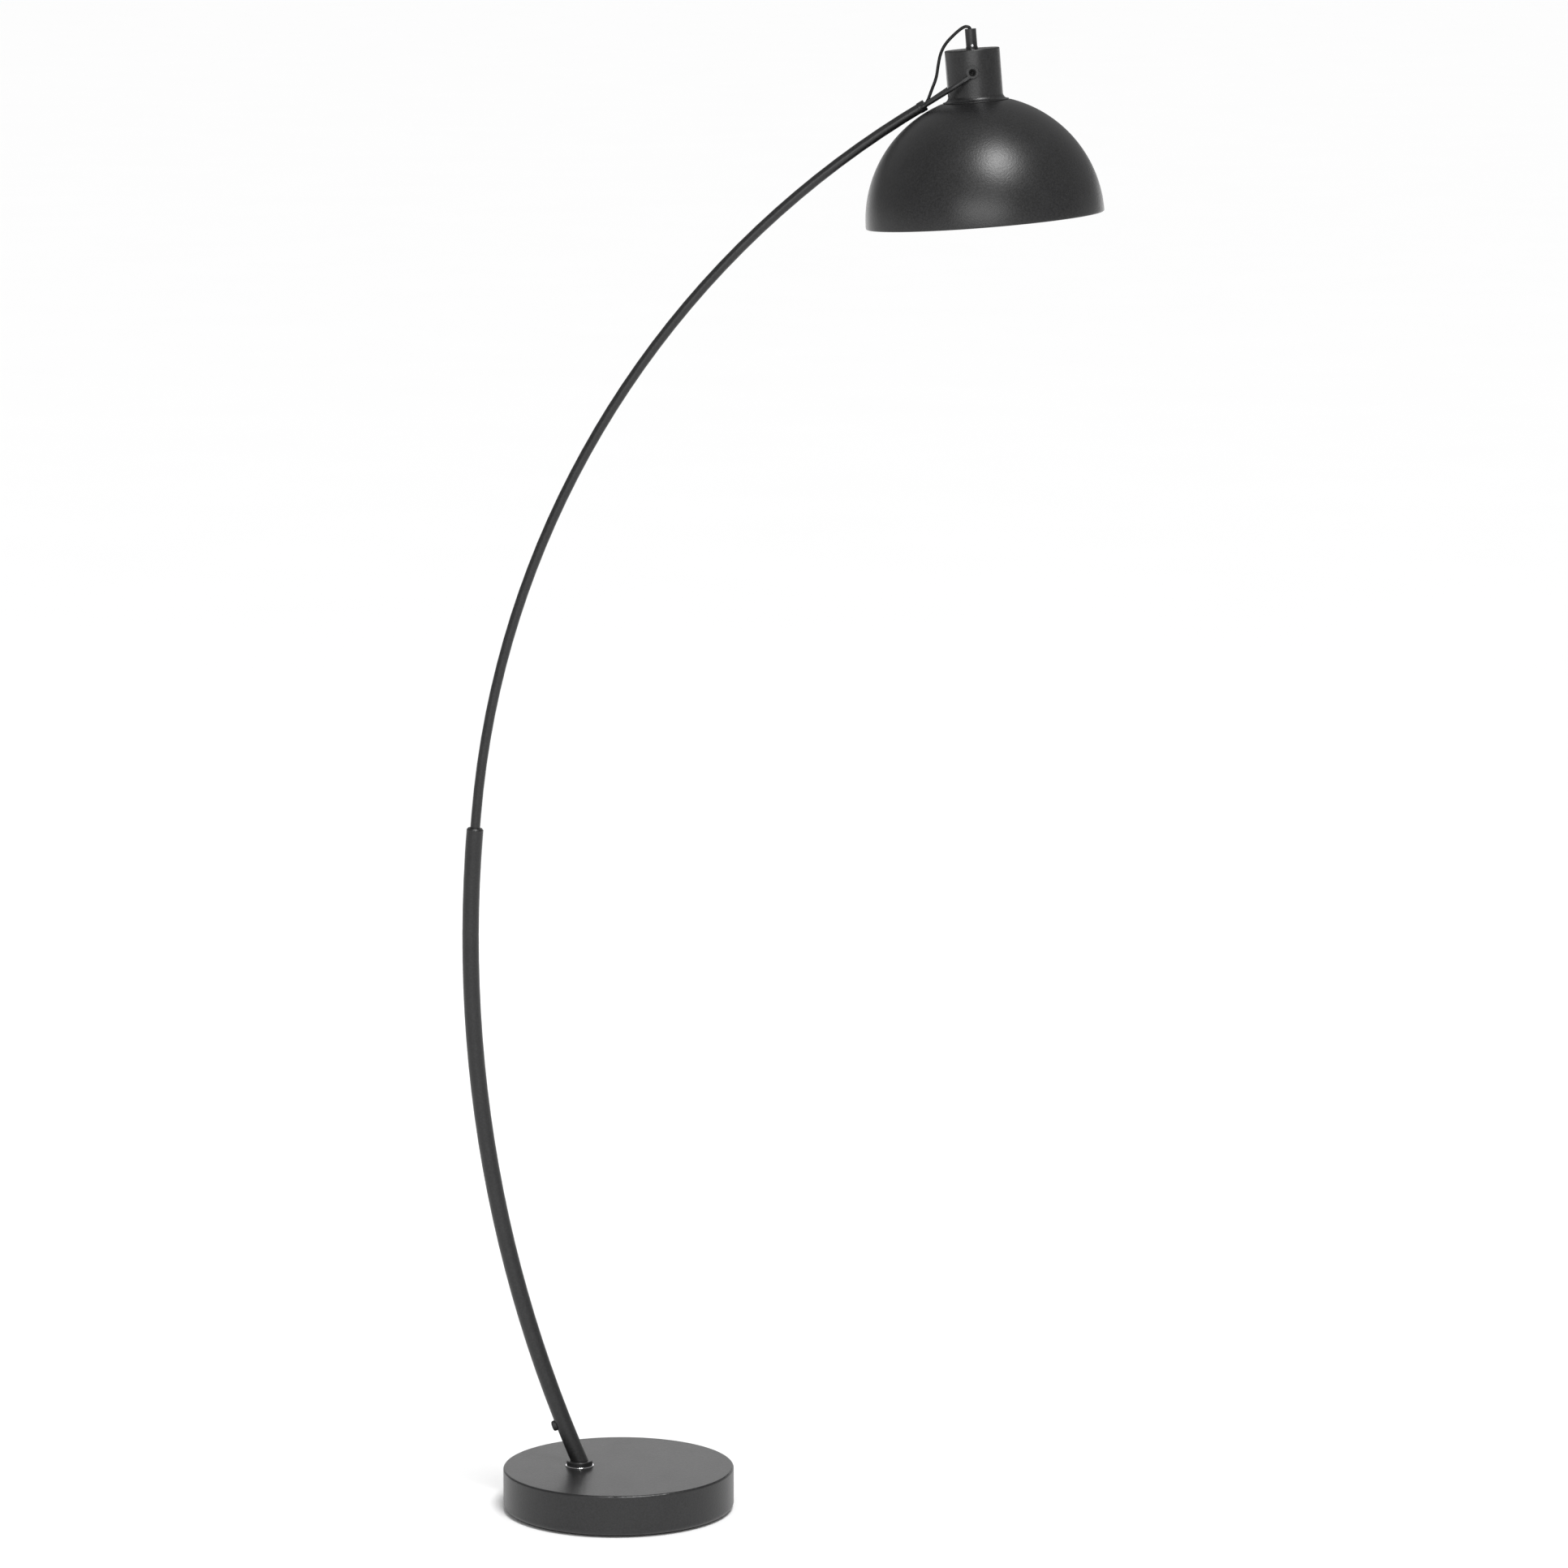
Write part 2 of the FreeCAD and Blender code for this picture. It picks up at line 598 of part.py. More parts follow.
# ---- Fork ------------------------------------------------------------------------------------
def fork_rod(side):
    """One rod of the fork, from its weld beside the collar to the flat eye on the tilt axis."""
    along = tilted(90 - ROD_RISE)
    eye_along = FORK_REACH * math.cos(math.radians(FORK_RISE - ROD_RISE))

    def place(distance, y):
        return tube_end + along * distance + ALONG_Y * (side * y)

    corners = [
        place(-ROD_OVERLAP, ROD_Y_AT_COLLAR),
        place(FLARE_START, ROD_Y_AT_COLLAR),
        place(FLARE_END, EYE_MIDDLE_Y),
        place(eye_along - EYE_R / 2, EYE_MIDDLE_Y),
    ]
    bar = swept_rod(rounded_wire(corners, [ROD_BEND_R, ROD_BEND_R]), ROD_R)
    tip = Part.makeSphere(ROD_R, corners[0])
    eye = rod(EYE_R, pivot + ALONG_Y * (side * EYE_INNER_Y), ALONG_Y * side, EYE_THICK)
    flat = Part.makeBox(6 * EYE_R, EYE_THICK, 6 * EYE_R)
    flat.translate(pivot + Vector(-3 * EYE_R, side * EYE_MIDDLE_Y - EYE_THICK / 2, -3 * EYE_R))
    near_eye = rod(2 * EYE_R, pivot + ALONG_Y * (side * NECK_R), ALONG_Y * side, 3 * EYE_THICK)
    bar = bar.cut(near_eye.cut(flat))
    return bar.fuse([tip, eye])


def head_fork():
    back = tube_end - tube_axis * COLLAR_LENGTH
    collar = rod(COLLAR_R, back, tube_axis, COLLAR_LENGTH)
    collar = collar.makeChamfer(COLLAR_EDGE, [edge for edge in collar.Edges if edge.Closed])
    fork = collar.fuse([fork_rod(-1), fork_rod(1)])
    bore_start = upper_bend.further(END_LEAN, -3 * COLLAR_LENGTH)
    fork = fork.cut(upper_bend.rod(UPPER_R + FIT, bore_start, END_LEAN))
    fork = fork.cut(rod(UPPER_R + FIT, tube_end, tube_axis, COLLAR_LENGTH))
    hole_start = pivot - ALONG_Y * (2 * EYE_OUTER_Y)
    fork = fork.cut(rod(TILT_SCREW_R + RUNNING_FIT, hole_start, ALONG_Y, 4 * EYE_OUTER_Y))
    return fork.removeSplitter()


# ---- Tilt axis: both sides are alike ---------------------------------------------------------
def tilt_screw(side):
    out = ALONG_Y * side
    start_y = NECK_BORE_R - TILT_NUT - TILT_SCREW_PAST_NUT
    shank = rod(TILT_SCREW_R, out * start_y, out, EYE_OUTER_Y - start_y)
    head = rod(TILT_HEAD_R, out * EYE_OUTER_Y, out, TILT_HEAD)
    socket_start = out * (EYE_OUTER_Y + TILT_HEAD - TILT_SOCKET)
    socket = hexagon(TILT_SOCKET_FLATS, socket_start, out, 2 * TILT_SOCKET)
    return on_head(shank.fuse(head).cut(socket).removeSplitter())


def tilt_spacer(side):
    out = ALONG_Y * side
    spacer = ring(TILT_SPACER_R, TILT_SCREW_R + FIT, out * NECK_BORE_R, out, EYE_INNER_Y - NECK_BORE_R)
    neck = rod(NECK_R + FIT, UP * (-3 * TILT_SPACER_R), UP, 6 * TILT_SPACER_R)
    return on_head(spacer.cut(neck))


def tilt_nut(side):
    """Weld nut, with its back cut to the neck's inner wall."""
    out = ALONG_Y * side
    start_y = NECK_BORE_R - TILT_NUT
    nut = hexagon(TILT_NUT_FLATS, out * start_y, out, 2 * TILT_NUT)
    nut = nut.common(rod(NECK_BORE_R - FIT, UP * -NECK_R, UP, 2 * NECK_R))
    return on_head(nut.cut(rod(TILT_SCREW_R + FIT, ORIGIN, out, 2 * NECK_R)))


# ---- Head ------------------------------------------------------------------------------------
def neck_cup():
    flare_top = NECK_FOOT + NECK_WALL + NECK_FLARE
    flare_mid = NECK_FLARE * math.sin(math.radians(45))
    inner_mid = (NECK_FLARE + NECK_WALL) * math.sin(math.radians(45))
    centre_r = NECK_R + NECK_FLARE
    hole_r = NIPPLE_R + FIT
    cup = lathe(
        (hole_r, NECK_TOP),
        (NECK_R, NECK_TOP, NECK_TOP_ROUND),
        (NECK_R, flare_top),
        (centre_r - flare_mid, flare_top - flare_mid, "via"),
        (centre_r, flare_top - NECK_FLARE),
        (NECK_FLANGE_R, flare_top - NECK_FLARE),
        (NECK_FLANGE_R, NECK_FOOT),
        (centre_r, NECK_FOOT),
        (centre_r - inner_mid, flare_top - inner_mid, "via"),
        (NECK_BORE_R, flare_top),
        (NECK_BORE_R, NECK_INSIDE_TOP),
        (hole_r, NECK_INSIDE_TOP),
    )
    return on_head(cup.cut(rod(TILT_SCREW_R + FIT, ALONG_Y * (-2 * NECK_R), ALONG_Y, 4 * NECK_R)))


def shade_dome():
    """A spun steel dome. Its outside is one arc from the shoulder under the neck to the rim."""
    hem_r = HEM_THICK / 2
    arc_height = -SHADE_RIM_DROP
    rim_end = arc_height + hem_r

    def arc_r(arc, height):
        return math.sqrt(arc**2 - (height - arc_height) ** 2) - SHADE_ARC_OFFSET

    def arc_point(arc, angle):
        turn = math.radians(angle)
        return arc * math.cos(turn) - SHADE_ARC_OFFSET, arc_height + arc * math.sin(turn)

    inner_arc = SHADE_ARC_R - SHADE_WALL
    edge_drop = SHADE_WALL / 2
    outer_top = NECK_FOOT - edge_drop
    inner_top = NECK_FOOT - SHADE_WALL
    hem_top = arc_height + HEM_HEIGHT
    outer_rim = arc_r(SHADE_ARC_R, rim_end)
    dome = lathe(
        (SHADE_HOLE_R, NECK_FOOT),
        (SHADE_SHOULDER_R, NECK_FOOT),
        (arc_r(SHADE_ARC_R, outer_top), outer_top),
        (*arc_point(SHADE_ARC_R, 40), "via"),
        (outer_rim, rim_end),
        (outer_rim - hem_r, arc_height, "via"),
        (outer_rim - HEM_THICK, rim_end),
        (outer_rim - HEM_THICK, hem_top),
        (arc_r(inner_arc, hem_top), hem_top),
        (*arc_point(inner_arc, 40), "via"),
        (arc_r(inner_arc, inner_top), inner_top),
        (SHADE_HOLE_R, inner_top),
    )
    return on_head(dome)


def cord_grip():
    mouth_bottom = GRIP_TOP - GRIP_MOUTH_DEPTH
    thread_top = NECK_TOP + GRIP_THREAD_DEPTH
    grip = lathe(
        (NIPPLE_R + FIT, NECK_TOP),
        (GRIP_FOOT_R, NECK_TOP),
        (GRIP_FOOT_R, NECK_TOP + GRIP_FOOT),
        (GRIP_R, NECK_TOP + GRIP_FOOT),
        (GRIP_R, GRIP_TOP, GRIP_ROUND),
        (GRIP_MOUTH_R, GRIP_TOP),
        (CORD_BORE_R, mouth_bottom),
        (CORD_BORE_R, thread_top),
        (NIPPLE_R + FIT, thread_top),
    )
    hole = rod(GRIP_SCREW_R + FIT, UP * (NECK_TOP + GRIP_SCREW_RISE), grip_screw_out(), 2 * GRIP_R)
    return on_head(grip.cut(hole))


def grip_screw_out():
    turn = math.radians(GRIP_SCREW_TURN)
    return Vector(math.sin(turn), -math.cos(turn), 0)


def grip_screw():
    out = grip_screw_out()
    start = UP * (NECK_TOP + GRIP_SCREW_RISE) + out * (NIPPLE_R + FIT)
    return on_head(rod(GRIP_SCREW_R, start, out, GRIP_R + GRIP_SCREW_PROUD - NIPPLE_R - FIT))


def holder_lead():
    bottom = INSERT_TOP + TERMINAL_THICK
    return on_head(rod(CORD_R, UP * bottom, UP, GRIP_TOP - GRIP_MOUTH_DEPTH - bottom))


# ---- Lamp holder and bulb --------------------------------------------------------------------
def nipple():
    bottom = NECK_INSIDE_TOP - NIPPLE_REACH
    length = NECK_TOP + GRIP_THREAD_DEPTH - SLIP_FIT - bottom
    return on_head(ring(NIPPLE_R, NIPPLE_BORE_R, UP * bottom, UP, length))


def nipple_nut():
    nut = hexagon(NUT_FLATS, UP * (NECK_INSIDE_TOP - NUT_THICK), UP, NUT_THICK)
    return on_head(nut.cut(rod(NIPPLE_R + FIT, ORIGIN, UP, NECK_TOP)))


def holder_cap():
    inside_r = HOLDER_R - HOLDER_WALL
    cap = lathe(
        (NIPPLE_R + FIT, HOLDER_TOP + HOLDER_BOSS),
        (HOLDER_BOSS_R, HOLDER_TOP + HOLDER_BOSS),
        (HOLDER_BOSS_R, HOLDER_TOP),
        (HOLDER_R, HOLDER_TOP, HOLDER_CAP_ROUND),
        (HOLDER_R, HOLDER_SEAM),
        (inside_r, HOLDER_SEAM),
        (inside_r, HOLDER_TOP - HOLDER_WALL, HOLDER_CAP_ROUND - HOLDER_WALL),
        (NIPPLE_R + FIT, HOLDER_TOP - HOLDER_WALL),
    )
    return on_head(cap)


def holder_insert():
    """Ceramic disc that carries the contacts, held where the holder's two halves meet."""
    inside_r = HOLDER_R - HOLDER_WALL - FIT
    return on_head(rod(inside_r, UP * INSERT_BOTTOM, UP, INSERT_THICK))


def holder_body():
    bottom = HOLDER_SEAM - HOLDER_BODY
    inside_r = HOLDER_R - HOLDER_WALL
    body = lathe(
        (inside_r, HOLDER_SEAM),
        (HOLDER_R, HOLDER_SEAM),
        (HOLDER_R, bottom, HOLDER_WALL),
        (HOLDER_MOUTH_R, bottom),
        (HOLDER_MOUTH_R, INSERT_BOTTOM),
        (inside_r, INSERT_BOTTOM),
    )
    return on_head(body)


def terminal_block():
    return on_head(rod(TERMINAL_R, UP * INSERT_TOP, UP, TERMINAL_THICK))


def shell_contact():
    start = UP * (INSERT_BOTTOM - SHELL_CONTACT)
    return on_head(ring(SHELL_CONTACT_R, SHELL_CONTACT_R - SHELL_CONTACT_WALL, start, UP, SHELL_CONTACT))


def centre_contact():
    return on_head(rod(CENTRE_CONTACT_R, UP * (INSERT_BOTTOM - CENTRE_CONTACT), UP, CENTRE_CONTACT))


def bulb_tip():
    """Glass insulator and solder point at the end of the bulb's cap."""
    return on_head(rod(BULB_TIP_R, UP * BULB_CAP_TOP, UP, BULB_TIP))


def bulb_cap():
    inside_r = BULB_CAP_R - SHELL_CONTACT_WALL
    cap = lathe(
        (0, BULB_CAP_TOP),
        (BULB_CAP_R, BULB_CAP_TOP, SHELL_TOP_ROUND),
        (BULB_CAP_R, BULB_CAP_BOTTOM),
        (inside_r, BULB_CAP_BOTTOM),
        (inside_r, BULB_CAP_TOP - SHELL_CONTACT_WALL, SHELL_TOP_ROUND - SHELL_CONTACT_WALL),
        (0, BULB_CAP_TOP - SHELL_CONTACT_WALL),
    )
    return on_head(cap)


def bulb_profile(shrink):
    """The globe and its throat, as a solid that is smaller all round by shrink."""
    centre = BULB_CAP_BOTTOM - BULB_DROP
    globe_r = BULB_GLASS_R - shrink
    throat_r = BULB_CAP_R - SHELL_CONTACT_WALL - FIT - shrink
    throat_end = BULB_CAP_BOTTOM - BULB_CAP_R
    join = math.radians(50)
    join_r = globe_r * math.cos(join)
    join_z = centre + globe_r * math.sin(join)
    side = math.sqrt(0.5)
    return lathe(
        (0, BULB_CAP_BOTTOM + BULB_CAP_R / 2 - shrink),
        (throat_r, BULB_CAP_BOTTOM + BULB_CAP_R / 2 - shrink),
        (throat_r, throat_end),
        (join_r, join_z),
        (globe_r * side, centre - globe_r * side, "via"),
        (0, centre - globe_r),
    )


def bulb_glass():
    return on_head(bulb_profile(0).cut(bulb_profile(GLASS_WALL)))


# ---- Every piece -----------------------------------------------------------------------------
pieces = {
    "base_pad": base_pad(),
    "base_plate": base_plate(),
    "plate_screws": plate_screws(),
    "base_ballast": base_ballast(),
    "base_shell": base_shell(),
    "foot_bolt": foot_bolt(),
    "foot_bolt_washer": foot_bolt_washer(),
    "foot_spacer": foot_spacer(),
    "foot_trim_washer": foot_trim_washer(),
    "foot_socket": foot_socket(),
    "lower_tube": lower_tube(),
    "joint_bush": joint_bush(),
    "joint_screw": joint_screw(),
    "upper_tube": upper_tube(),
    "cable_grommet": cable_grommet(),
    "arm_lead": arm_lead(),
    "tube_end_bush": tube_end_bush(),
    "head_fork": head_fork(),
    "head_cord": head_cord(),
    "neck_cup": neck_cup(),
    "shade_dome": shade_dome(),
    "cord_grip": cord_grip(),
    "grip_screw": grip_screw(),
    "holder_lead": holder_lead(),
    "nipple": nipple(),
    "nipple_nut": nipple_nut(),
    "holder_cap": holder_cap(),
    "holder_insert": holder_insert(),
    "holder_body": holder_body(),
    "terminal_block": terminal_block(),
    "shell_contact": shell_contact(),
    "centre_contact": centre_contact(),
    "bulb_tip": bulb_tip(),
    "bulb_cap": bulb_cap(),
    "bulb_glass": bulb_glass(),
}
for name, side in (("front", -1), ("rear", 1)):
    pieces["tilt_screw_" + name] = tilt_screw(side)
    pieces["tilt_spacer_" + name] = tilt_spacer(side)
    pieces["tilt_nut_" + name] = tilt_nut(side)

os.makedirs("parts", exist_ok=True)
for name, shape in pieces.items():
    shape.exportStep("parts/" + name + ".step")
    box = shape.BoundBox
    print(
        name,
        "solids", len(shape.Solids),
        "valid", shape.isValid(),
        "volume", round(shape.Volume, 1),
        "x", round(box.XMin, 1), round(box.XMax, 1),
        "y", round(box.YMin, 1), round(box.YMax, 1),
        "z", round(box.ZMin, 1), round(box.ZMax, 1),
    )
print("tube end", tube_end, "tilt axis", pivot, "joint", joint)
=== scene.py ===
import json
import math

import bmesh
import bpy
from bpy.props import FloatProperty, FloatVectorProperty, IntProperty, PointerProperty
from mathutils import Matrix, Vector


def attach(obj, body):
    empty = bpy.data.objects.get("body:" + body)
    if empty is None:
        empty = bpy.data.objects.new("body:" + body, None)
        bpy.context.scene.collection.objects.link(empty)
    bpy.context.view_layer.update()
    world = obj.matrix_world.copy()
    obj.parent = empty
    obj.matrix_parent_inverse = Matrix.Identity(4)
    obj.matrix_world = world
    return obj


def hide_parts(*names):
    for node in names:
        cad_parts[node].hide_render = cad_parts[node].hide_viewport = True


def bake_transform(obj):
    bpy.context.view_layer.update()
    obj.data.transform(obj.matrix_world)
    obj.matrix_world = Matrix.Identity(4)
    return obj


bl_info = {
    "name": "Arc Floor Lamp",
    "version": (1, 0, 0),
    "blender": (4, 5, 0),
    "location": "View3D > Sidebar > Floor Lamp",
    "description": "Dresses the frame of an arc floor lamp: paint, metals, cord, shade and bulb",
    "category": "Add Mesh",
}

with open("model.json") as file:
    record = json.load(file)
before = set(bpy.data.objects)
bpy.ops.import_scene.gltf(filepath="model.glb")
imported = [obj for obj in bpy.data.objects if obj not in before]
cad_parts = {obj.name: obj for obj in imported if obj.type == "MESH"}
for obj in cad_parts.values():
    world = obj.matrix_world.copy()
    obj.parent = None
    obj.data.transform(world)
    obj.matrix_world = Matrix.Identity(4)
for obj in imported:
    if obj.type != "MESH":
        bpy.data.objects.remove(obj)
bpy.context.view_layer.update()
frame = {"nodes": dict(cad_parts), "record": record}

# ---- Where things are, in metres ---------------------------------------------------------------
TILT_AXIS = Vector((0.366204, 0.0, 1.503915))
HEAD_LEAN = math.radians(-4.67)
HEAD_PLACE = Matrix.Translation(TILT_AXIS) @ Matrix.Rotation(HEAD_LEAN, 4, "Y")

# The pole's foot on the base.
FOOT = Vector((-0.041, 0.0, 0.0))

# Heights on the head, from the tilt axis up along the head's own axis.
NECK_TOP = 0.0222
NECK_FOOT = -0.0308

CAMERA_PLACE = (0.5633, -6.5501, 1.8040)
CAMERA_AIM = Vector((-0.0586, 0.9861, -0.1554))
CAMERA_REACH = 400.0
SKY_AIM = Vector((-0.19, 0.49, -0.85))
SKY_SPREAD = math.radians(22.0)
FLOOR_HALF_SIDE = 150.0

# The free cord's route from the pole's end to the grip on the head: (x, z), y = 0.
HEAD_CORD_ROUTE = [
    (0.313204, 1.467004),
    (0.318869, 1.470392),
    (0.323400, 1.483600),
    (0.328600, 1.496500),
    (0.330200, 1.509000),
    (0.332500, 1.521200),
    (0.337600, 1.531400),
    (0.347900, 1.542000),
    (0.356300, 1.548500),
    (0.360600, 1.548400),
    (0.362728, 1.546473),
    (0.362980, 1.543383),
]


# ---- Sizes and colours that a user may change --------------------------------------------------
def length(name, description, default):
    return FloatProperty(
        name=name, description=description, default=default, subtype="DISTANCE", unit="LENGTH"
    )


def colour(name, description, default):
    return FloatVectorProperty(
        name=name,
        description=description,
        default=default,
        subtype="COLOR",
        size=3,
        min=0.0,
        max=1.0,
    )


class LampSizes(bpy.types.PropertyGroup):
    """Sizes of the pieces that are made here"""

    cord_diameter: length("Cord diameter", "Outside diameter of the free cord", 0.0032)
    cord_length: length("Cord length", "Length of the free cord", 0.1062)
    shade_arc: length("Shade arc", "Radius of the arc that the shade's outside follows", 0.1265)
    shade_offset: length("Shade offset", "How far past the axis that arc is struck", 0.005)
    shade_drop: length("Shade drop", "From the tilt axis down to the rim", 0.151)
    shade_wall: length("Shade wall", "Thickness of the spun steel", 0.001)
    hem_thickness: length("Hem thickness", "Thickness of the rolled edge", 0.0022)
    grain: length("Paint grain", "Size of the grain in the powder coat", 0.0006)
    segments: IntProperty(
        name="Segments", description="Steps round a turned piece", default=192, min=24, max=512
    )


class LampColours(bpy.types.PropertyGroup):
    """Colours of the lamp's finishes"""

    paint: colour("Paint", "Black powder coat on base, pole and shade", (0.0100, 0.0100, 0.0104))
    lining: colour("Shade inside", "Pale paint inside the shade", (0.78, 0.775, 0.75))
    cord: colour("Cord", "Outer sheath of the cord", (0.007, 0.007, 0.0075))
    rubber: colour("Rubber", "Grommet on the pole", (0.016, 0.016, 0.016))
    plastic: colour("Plastic", "Lamp holder and spacers", (0.018, 0.018, 0.019))
    glass: colour("Bulb", "Opal glass of the bulb", (0.86, 0.855, 0.83))


class StudioSettings(bpy.types.PropertyGroup):
    """Light and floor, which are not part of the lamp"""

    floor_colour: colour("Floor", "Colour of the plain floor", (0.965, 0.965, 0.965))
    surround: FloatProperty(
        name="Surround", description="Strength of the even light", default=0.36, min=0.0
    )
    sky: FloatProperty(
        name="Sky light", description="Strength of the soft light above", default=2.60, min=0.0
    )
    front: FloatProperty(
        name="Front light", description="Power of the soft box in front", default=95.0, min=0.0
    )
    back: FloatProperty(
        name="Back light", description="Power of the soft box behind", default=23.0, min=0.0
    )
    lens: FloatProperty(
        name="Lens", description="Focal length", default=147.9, unit="CAMERA", subtype="DISTANCE_CAMERA"
    )


# ---- Shader maths --------------------------------------------------------------------------------
class Tone:
    """One output of a material's nodes. Arithmetic on it adds the Math nodes for it."""

    def __init__(self, finish, socket):
        self.finish = finish
        self.socket = socket

    def math(self, operation, first, second):
        return self.finish.node(
            "ShaderNodeMath", {"operation": operation}, {0: first, 1: second}
        )

    def __add__(self, other):
        return self.math("ADD", self, other)

    def __radd__(self, other):
        return self.math("ADD", other, self)

    def __sub__(self, other):
        return self.math("SUBTRACT", self, other)

    def __rsub__(self, other):
        return self.math("SUBTRACT", other, self)

    def __mul__(self, other):
        return self.math("MULTIPLY", self, other)

    def __rmul__(self, other):
        return self.math("MULTIPLY", other, self)

    def __pow__(self, other):
        return self.math("POWER", self, other)


class Finish:
    """A procedural material. Sizes are in metres, in each object's own space."""

    def __init__(self, name, **shader):
        self.material = bpy.data.materials.new(name)
        self.material.use_nodes = True
        self.tree = self.material.node_tree
        self.shader = self.tree.nodes["Principled BSDF"]
        self.place = self.node("ShaderNodeTexCoord", output="Object")
        for socket, value in shader.items():
            self.set(socket.replace("_", " ").title().replace("Ior", "IOR"), value)

    def node(self, kind, settings=None, inputs=None, output=0):
        """Adds a node. Settings come first, and a ramp's stops are a setting."""
        node = self.tree.nodes.new(kind)
        for name, value in (settings or {}).items():
            if name == "stops":
                self.set_stops(node.color_ramp, value)
            else:
                setattr(node, name, value)
        for name, value in (inputs or {}).items():
            self.connect(node.inputs[name], value)
        return Tone(self, node.outputs[output])

    def set_stops(self, ramp, stops):
        while len(ramp.elements) < len(stops):
            ramp.elements.new(1.0)
        for element, (position, grey) in zip(ramp.elements, stops):
            element.position = position
            element.color = (grey, grey, grey, 1.0)

    def connect(self, socket, value):
        if isinstance(value, Tone):
            self.tree.links.new(value.socket, socket)
        elif hasattr(socket.default_value, "__len__") and len(socket.default_value) == 4:
            socket.default_value = (*value, 1.0) if len(value) == 3 else value
        else:
            socket.default_value = value

    def set(self, socket, value):
        self.connect(self.shader.inputs[socket], value)

    def stretched(self, x, y, z):
        """The place, scaled along each axis."""
        return self.node(
            "ShaderNodeVectorMath", {"operation": "MULTIPLY"}, {0: self.place, 1: (x, y, z)}
        )

    def noise(self, size, detail=2.0, roughness=0.5, place=None):
        """Cloudy noise from 0 to 1, with features about as large as size."""
        return self.node(
            "ShaderNodeTexNoise",
            {"noise_dimensions": "3D"},
            {
                "Vector": place or self.place,
                "Scale": 1.0 / size,
                "Detail": detail,
                "Roughness": roughness,
            },
        )

    def cells(self, size):
        """Rounded cells about as large as size, dark in their middles."""
        return self.node(
            "ShaderNodeTexVoronoi",
            {"feature": "F1"},
            {"Vector": self.place, "Scale": 1.0 / size},
        )

    def ramp(self, value, *stops):
        return self.node("ShaderNodeValToRGB", {"stops": stops}, {"Fac": value})

    def mix(self, factor, first, second):
        return self.node(
            "ShaderNodeMix", {"data_type": "RGBA"}, {0: factor, 6: first, 7: second}, output=2
        )

    def part(self, axis):
        """One coordinate of the place."""
        return self.node("ShaderNodeSeparateXYZ", None, {0: self.place}, output=axis)

    def bump(self, height, distance, strength=1.0, edge=0.0):
        """Relief on the surface. Edge is the radius to which sharp edges look rounded."""
        inputs = {"Height": height, "Distance": distance, "Strength": strength}
        if edge:
            inputs["Normal"] = self.node("ShaderNodeBevel", {"samples": 6}, {"Radius": edge})
        self.set("Normal", self.node("ShaderNodeBump", None, inputs, output="Normal"))

    def from_axis(self, first, second, centre):
        """Distance from an axis that runs along the third direction."""
        a = self.part(first) - centre[0]
        b = self.part(second) - centre[1]
        return (a * a + b * b) ** 0.5


def shade_of(base, factor):
    return tuple(min(1.0, channel * factor) for channel in base)


def powder_coat(name, base, grain, gloss=0.37):
    """Satin powder coat: a fine pebbled skin with faint mottling."""
    finish = Finish(name, specular_ior_level=0.5)
    pebble = finish.noise(grain, detail=1.0)
    orange_peel = finish.noise(grain * 3.2, detail=1.0)
    cloud = finish.noise(0.03, detail=3.0)
    tone = finish.ramp(orange_peel * 0.7 + cloud * 0.3, (0.3, 0.0), (0.7, 1.0))
    finish.set("Base Color", finish.mix(tone, shade_of(base, 0.5), shade_of(base, 1.5)))
    finish.set("Roughness", pebble * 0.08 + orange_peel * 0.10 + cloud * 0.05 + (gloss - 0.115))
    finish.bump(pebble * 0.6 + orange_peel * 1.6, 0.0001, 0.65, edge=0.0005)
    return finish.material


def pale_lining(name, base, grain):
    finish = Finish(name)
    pebble = finish.noise(grain, detail=1.0)
    cloud = finish.noise(0.025, detail=3.0)
    finish.set("Base Color", finish.mix(cloud, shade_of(base, 0.95), shade_of(base, 1.03)))
    finish.set("Roughness", pebble * 0.08 + 0.42)
    finish.bump(pebble, 0.00003, 0.5)
    return finish.material


def turned_metal(name, base, rough, centre):
    """Plated metal with fine turning marks round an upright axis at centre."""
    finish = Finish(name, metallic=1.0)
    rings = finish.node(
        "ShaderNodeTexNoise",
        {"noise_dimensions": "1D"},
        {"W": finish.from_axis("X", "Y", centre), "Scale": 9000.0, "Detail": 2.0},
    )
    cloud = finish.noise(0.006, detail=3.0)
    finish.set("Base Color", finish.mix(cloud, shade_of(base, 0.92), shade_of(base, 1.06)))
    finish.set("Roughness", rings * 0.12 + cloud * 0.05 + (rough - 0.08))
    finish.bump(rings, 0.000008, 0.4, edge=0.0003)
    return finish.material


def plated_steel(name, base, rough):
    """Zinc, nickel or brass with a little clouding and hairline scratches."""
    finish = Finish(name, metallic=1.0)
    cloud = finish.noise(0.004, detail=4.0)
    hair = finish.noise(0.00025, detail=1.0, place=finish.stretched(1.0, 1.0, 0.06))
    finish.set("Base Color", finish.mix(cloud, shade_of(base, 0.86), shade_of(base, 1.08)))
    finish.set("Roughness", cloud * 0.16 + hair * 0.10 + (rough - 0.12))
    finish.bump(hair, 0.000006, 0.35, edge=0.0002)
    return finish.material


